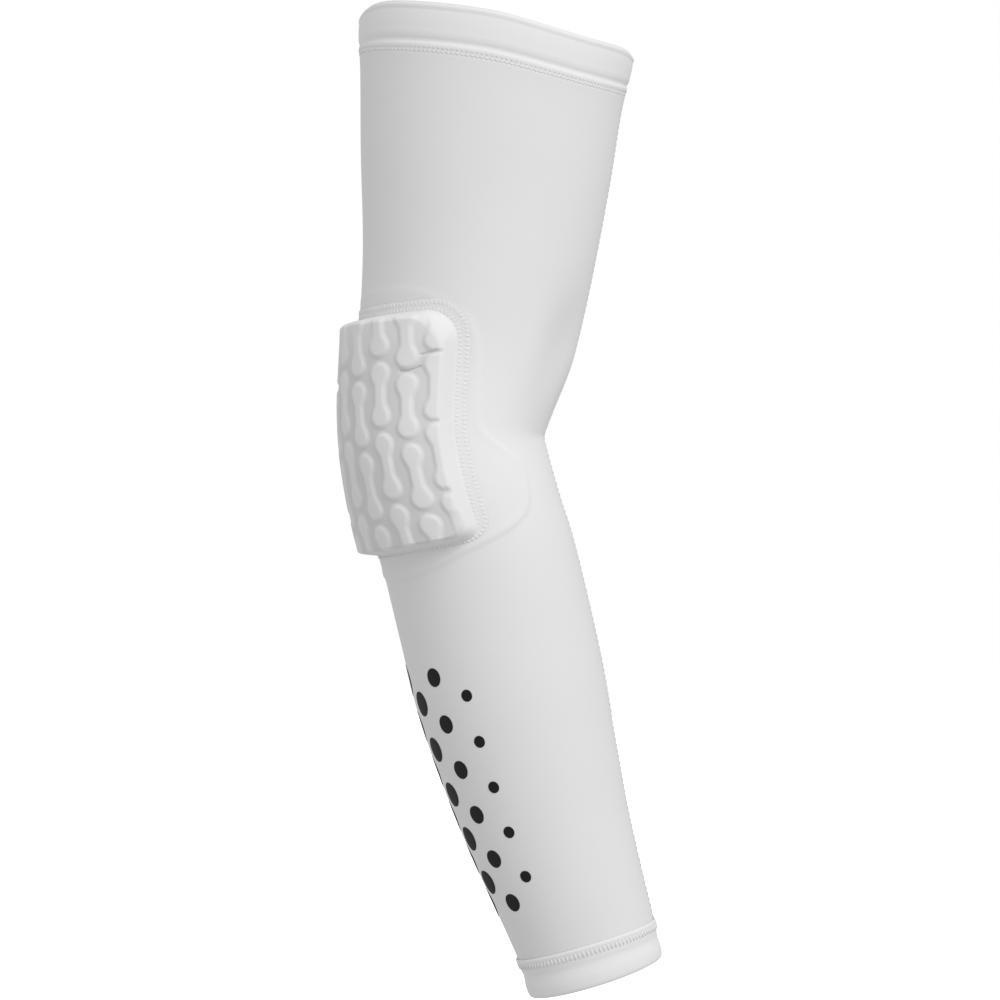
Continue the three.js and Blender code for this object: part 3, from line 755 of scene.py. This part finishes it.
def sewing_thread(name):
    """Textured polyester sewing thread: white, soft, and slightly uneven where its fibres bunch."""
    material = bpy.data.materials.new(name)
    material.use_nodes = True
    tree = material.node_tree
    surface = tree.nodes["Principled BSDF"]
    surface.inputs["Roughness"].default_value = 0.7
    surface.inputs["Specular IOR Level"].default_value = 0.35
    place = add_node(tree, "ShaderNodeTexCoord").outputs["Object"]
    fibres = add_node(tree, "ShaderNodeTexNoise", {
        "Vector": place, "Scale": 1 / (THREAD_FIBRE * MM),
    }).outputs["Fac"]
    tint = add_node(tree, "ShaderNodeMixRGB", {
        "Fac": fibres, "Color1": linear_colour("#e8e8e8"), "Color2": linear_colour("#dedede"),
    })
    tree.links.new(tint.outputs["Color"], surface.inputs["Base Color"])
    bump = add_node(tree, "ShaderNodeBump", {"Height": fibres, "Strength": 0.4, "Distance": 0.1 * MM})
    tree.links.new(bump.outputs["Normal"], surface.inputs["Normal"])
    return material


stitch_rows = stitch_tree()
thread = sewing_thread("sewing_thread")
round_arm = np.linspace(0, 2 * np.pi, STITCH_PATH_POINTS, endpoint=False)
ticks_along = np.full_like(round_arm, UPPER_TICKS_DEPTH)
stitch_row("upper_hem_ticks", "hem", ticks_along, round_arm, UPPER_TICKS_LIFT, **UPPER_TICKS)
dots_along = np.full_like(round_arm, UPPER_DOTS_DEPTH)
stitch_row("upper_hem_dots", "hem", dots_along, round_arm, UPPER_DOTS_LIFT, **UPPER_DOTS)
ladder_along = WRIST - WRIST_LADDER_DEPTH * (1 - WRIST_HEM_NARROWING * np.cos(round_arm) ** 2)
stitch_row("wrist_hem_ladder", "hem", ladder_along, round_arm, WRIST_LADDER_LIFT, **WRIST_LADDER)
seam_along = np.linspace(*SEAM_ENDS, STITCH_PATH_POINTS)
seam_angle = np.full_like(seam_along, SEAM_ANGLE)
stitch_row("seam_zigzag", "jersey", seam_along, seam_angle, SEAM_HEIGHT, closed=False, **SEAM_ZIGZAG)
for side, outline in FLANGE_ROWS.items():
    flange_along, flange_angle = pad_place(*outline_ring(outline, STITCH_PATH_POINTS))
    stitch_row(f"pad_{side}_stitches", "pad_foam", flange_along, flange_angle, FLANGE_TOP, **FLANGE_STITCHES)


# Print. A field of round dots in matt black transfer film, fused on hot on the outer side of the forearm. The
# dots stand in staggered rows and shrink towards the front of the arm.
DOT_PITCH = 20.0
DOT_ALONG = (274.0, 380.0)
DOT_ANGLES = np.radians((178, 116))
DOT_RADII = (7.0, 2.6)  # on the outer side of the arm and at its front
DOT_START = 2.0  # height over the cloth from which the discs are wrapped on it
FILM_THICKNESS = 0.12
FILM_GAP = 0.03
FILM_GRAIN = 0.5


def dot_tree():
    """Sets a disc of film on each point and wraps it over the cloth."""
    tree = bpy.data.node_groups.new("print_dots", "GeometryNodeTree")
    tree.interface.new_socket("Places", in_out="INPUT", socket_type="NodeSocketGeometry")
    tree.interface.new_socket("Cloth", in_out="INPUT", socket_type="NodeSocketObject")
    for size in ("Thickness", "Gap"):
        tree.interface.new_socket(size, in_out="INPUT", socket_type="NodeSocketFloat")
    tree.interface.new_socket("Film", in_out="INPUT", socket_type="NodeSocketMaterial")
    tree.interface.new_socket("Dots", in_out="OUTPUT", socket_type="NodeSocketGeometry")
    given = add_node(tree, "NodeGroupInput").outputs
    cloth = add_node(tree, "GeometryNodeObjectInfo", {"Object": given["Cloth"]}).outputs["Geometry"]
    out = add_node(tree, "GeometryNodeInputNamedAttribute", {
        "Name": "out",
    }, data_type="FLOAT_VECTOR").outputs["Attribute"]
    radius = add_node(tree, "GeometryNodeInputNamedAttribute", {
        "Name": "radius",
    }, data_type="FLOAT").outputs["Attribute"]
    disc = add_node(tree, "GeometryNodeMeshCylinder", {
        "Vertices": 24, "Fill Segments": 3, "Radius": 1.0, "Depth": 0.01,
    }).outputs["Mesh"]
    place = add_node(tree, "GeometryNodeInputPosition").outputs["Position"]
    disc_level = add_node(tree, "ShaderNodeSeparateXYZ", {"Vector": place}).outputs["Z"]
    on_top = add_node(tree, "ShaderNodeMath", {0: disc_level, 1: 0.0}, operation="GREATER_THAN").outputs[0]
    marked = add_node(tree, "GeometryNodeStoreNamedAttribute", {
        "Geometry": disc, "Name": "on_top", "Value": on_top,
    }, data_type="FLOAT", domain="POINT").outputs["Geometry"]
    upright = add_node(tree, "FunctionNodeAlignRotationToVector", {
        "Vector": out,
    }, axis="Z").outputs["Rotation"]
    laid = add_node(tree, "GeometryNodeInstanceOnPoints", {
        "Points": given["Places"], "Instance": marked, "Rotation": upright, "Scale": radius,
    }).outputs["Instances"]
    solid = add_node(tree, "GeometryNodeRealizeInstances", {"Geometry": laid}).outputs["Geometry"]
    nearest = add_node(tree, "GeometryNodeProximity", {0: cloth}, target_element="FACES").outputs["Position"]
    outer = add_node(tree, "GeometryNodeInputNamedAttribute", {
        "Name": "on_top",
    }, data_type="FLOAT").outputs["Attribute"]
    height = add_node(tree, "ShaderNodeMath", {
        0: outer, 1: given["Thickness"], 2: given["Gap"],
    }, operation="MULTIPLY_ADD").outputs[0]
    rise = add_node(tree, "ShaderNodeVectorMath", {0: out, "Scale": height}, operation="SCALE").outputs[0]
    on_cloth = add_node(tree, "ShaderNodeVectorMath", {0: nearest, 1: rise}, operation="ADD").outputs[0]
    wrapped = add_node(tree, "GeometryNodeSetPosition", {"Geometry": solid, "Position": on_cloth}).outputs[0]
    printed = add_node(tree, "GeometryNodeSetMaterial", {
        "Geometry": wrapped, "Material": given["Film"],
    }).outputs["Geometry"]
    add_node(tree, "NodeGroupOutput", {"Dots": printed})
    return tree


def transfer_film(name):
    """Matt black polyurethane transfer film, which takes on the grain of the knit that it is fused to."""
    material = bpy.data.materials.new(name)
    material.use_nodes = True
    tree = material.node_tree
    surface = tree.nodes["Principled BSDF"]
    surface.inputs["Roughness"].default_value = 0.65
    surface.inputs["Specular IOR Level"].default_value = 0.3
    place = add_node(tree, "ShaderNodeTexCoord").outputs["Object"]
    grain = add_node(tree, "ShaderNodeTexNoise", {
        "Vector": place, "Scale": 1 / (FILM_GRAIN * MM),
    }).outputs["Fac"]
    tint = add_node(tree, "ShaderNodeMixRGB", {
        "Fac": grain, "Color1": linear_colour("#09090a"), "Color2": linear_colour("#111113"),
    })
    tree.links.new(tint.outputs["Color"], surface.inputs["Base Color"])
    bump = add_node(tree, "ShaderNodeBump", {"Height": grain, "Strength": 0.3, "Distance": 0.05 * MM})
    tree.links.new(bump.outputs["Normal"], surface.inputs["Normal"])
    return material


dot_rows = np.arange(*DOT_ALONG, DOT_PITCH / 2)
dot_columns = round((DOT_ANGLES[0] - DOT_ANGLES[1]) * ARM_RADIUS / DOT_PITCH)
row_index, column_index = np.meshgrid(np.arange(len(dot_rows)), np.arange(dot_columns), indexing="ij")
dot_share = ((column_index + row_index % 2 / 2) / (dot_columns - 0.5)).ravel()
dot_along = dot_rows[row_index].ravel()
dot_angle = DOT_ANGLES[0] + (DOT_ANGLES[1] - DOT_ANGLES[0]) * dot_share
dot_points = sleeve_point(dot_along, dot_angle, DOT_START)
dot_outs = (sleeve_point(dot_along, dot_angle, DOT_START + 1) - dot_points) / MM
dots = guide_piece("print_dots", dot_points, dot_outs, [])
dot_radii = (DOT_RADII[0] + (DOT_RADII[1] - DOT_RADII[0]) * dot_share) * MM
radius_layer = dots.data.attributes.new("radius", "FLOAT", "POINT")
radius_layer.data.foreach_set("value", dot_radii.astype(np.float32))
film = transfer_film("transfer_film")
grow_on(dots, dot_tree(), {
    "Cloth": tube, "Thickness": FILM_THICKNESS * MM, "Gap": FILM_GAP * MM, "Film": film,
})
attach(dots, "root")


# Studio. One large soft light stands in front, on the side of the elbow's hollow, with a soft accent on the
# elbow. A weaker light behind keeps the back readable. The pale floor lies just below the wrist.

# Lights, camera and floor are placed in metres
FLOOR_GAP = 0.02
FLOOR_HALF_SIZE = 2.0
CAMERA_PLACE = (0.0189, -1.3, -0.0261)
CAMERA_LENS = 108.84
SURROUND = 0.625  # brightness of the white room, where it isn't seen directly
KEY_DIRECTION = Vector((0.383, -0.663, 0.643))
BACK_DIRECTION = Vector((-0.75, 0.6, 0.25))
ACCENT_TARGET = (0.012, -0.043, 0.012)
ACCENT_DISTANCE = 2.5
ACCENT_CONE = 3.2
ACCENT_POWER = 22.0
ACCENT_SIZE = 0.03


def soft_light(name, direction, distance, size, power):
    """A square light that faces the middle of the sleeve and isn't seen itself."""
    lamp = bpy.data.lights.new(name, "AREA")
    lamp.size = size
    lamp.energy = power
    light = bpy.data.objects.new(name, lamp)
    light.location = direction.normalized() * distance
    light.rotation_euler = direction.to_track_quat("Z", "Y").to_euler()
    light.visible_camera = False
    bpy.context.scene.collection.objects.link(light)


soft_light("key", KEY_DIRECTION, distance=4.0, size=2.5, power=90.0)
soft_light("back", BACK_DIRECTION, distance=2.2, size=1.4, power=3.5)

accent = bpy.data.lights.new("accent", "SPOT")
accent.energy = ACCENT_POWER
accent.spot_size = np.radians(ACCENT_CONE)
accent.spot_blend = 1.0
accent.shadow_soft_size = ACCENT_SIZE
accent_light = bpy.data.objects.new("accent", accent)
accent_light.location = Vector(ACCENT_TARGET) + KEY_DIRECTION.normalized() * ACCENT_DISTANCE
accent_light.rotation_euler = KEY_DIRECTION.to_track_quat("Z", "Y").to_euler()
bpy.context.scene.collection.objects.link(accent_light)

world = bpy.data.worlds.new("studio")
world.use_nodes = True
seen_directly = add_node(world.node_tree, "ShaderNodeLightPath").outputs["Is Camera Ray"]
surround = add_node(world.node_tree, "ShaderNodeMixRGB", {
    "Fac": seen_directly, "Color1": (SURROUND, SURROUND, SURROUND, 1), "Color2": (1, 1, 1, 1),
})
world.node_tree.links.new(surround.outputs["Color"], world.node_tree.nodes["Background"].inputs["Color"])
bpy.context.scene.world = world
bpy.context.scene.view_settings.view_transform = "Standard"

floor_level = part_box("wrist_hem")[0][2] - FLOOR_GAP
floor_corners = [
    (x * FLOOR_HALF_SIZE, y * FLOOR_HALF_SIZE, floor_level) for x, y in ((-1, -1), (1, -1), (1, 1), (-1, 1))
]
floor_mesh = bpy.data.meshes.new("studio_floor")
floor_mesh.from_pydata(floor_corners, [], [(0, 1, 2, 3)])
floor_paint = bpy.data.materials.new("studio_paint")
floor_paint.use_nodes = True
floor_surface = floor_paint.node_tree.nodes["Principled BSDF"]
floor_surface.inputs["Base Color"].default_value = linear_colour("#f2f2f2")
floor_surface.inputs["Roughness"].default_value = 0.9
floor_surface.inputs["Emission Color"].default_value = (1, 1, 1, 1)
floor_surface.inputs["Emission Strength"].default_value = 1.0
floor_mesh.materials.append(floor_paint)
floor = bpy.data.objects.new("studio_floor", floor_mesh)
floor.visible_diffuse = False
floor.visible_glossy = False
floor.visible_shadow = False
bpy.context.scene.collection.objects.link(floor)

camera_data = bpy.data.cameras.new("photo_view")
camera_data.lens = CAMERA_LENS
camera = bpy.data.objects.new("photo_view", camera_data)
camera.location = CAMERA_PLACE
camera.rotation_euler = (np.pi / 2, 0, 0)
bpy.context.scene.collection.objects.link(camera)
bpy.context.scene.camera = camera
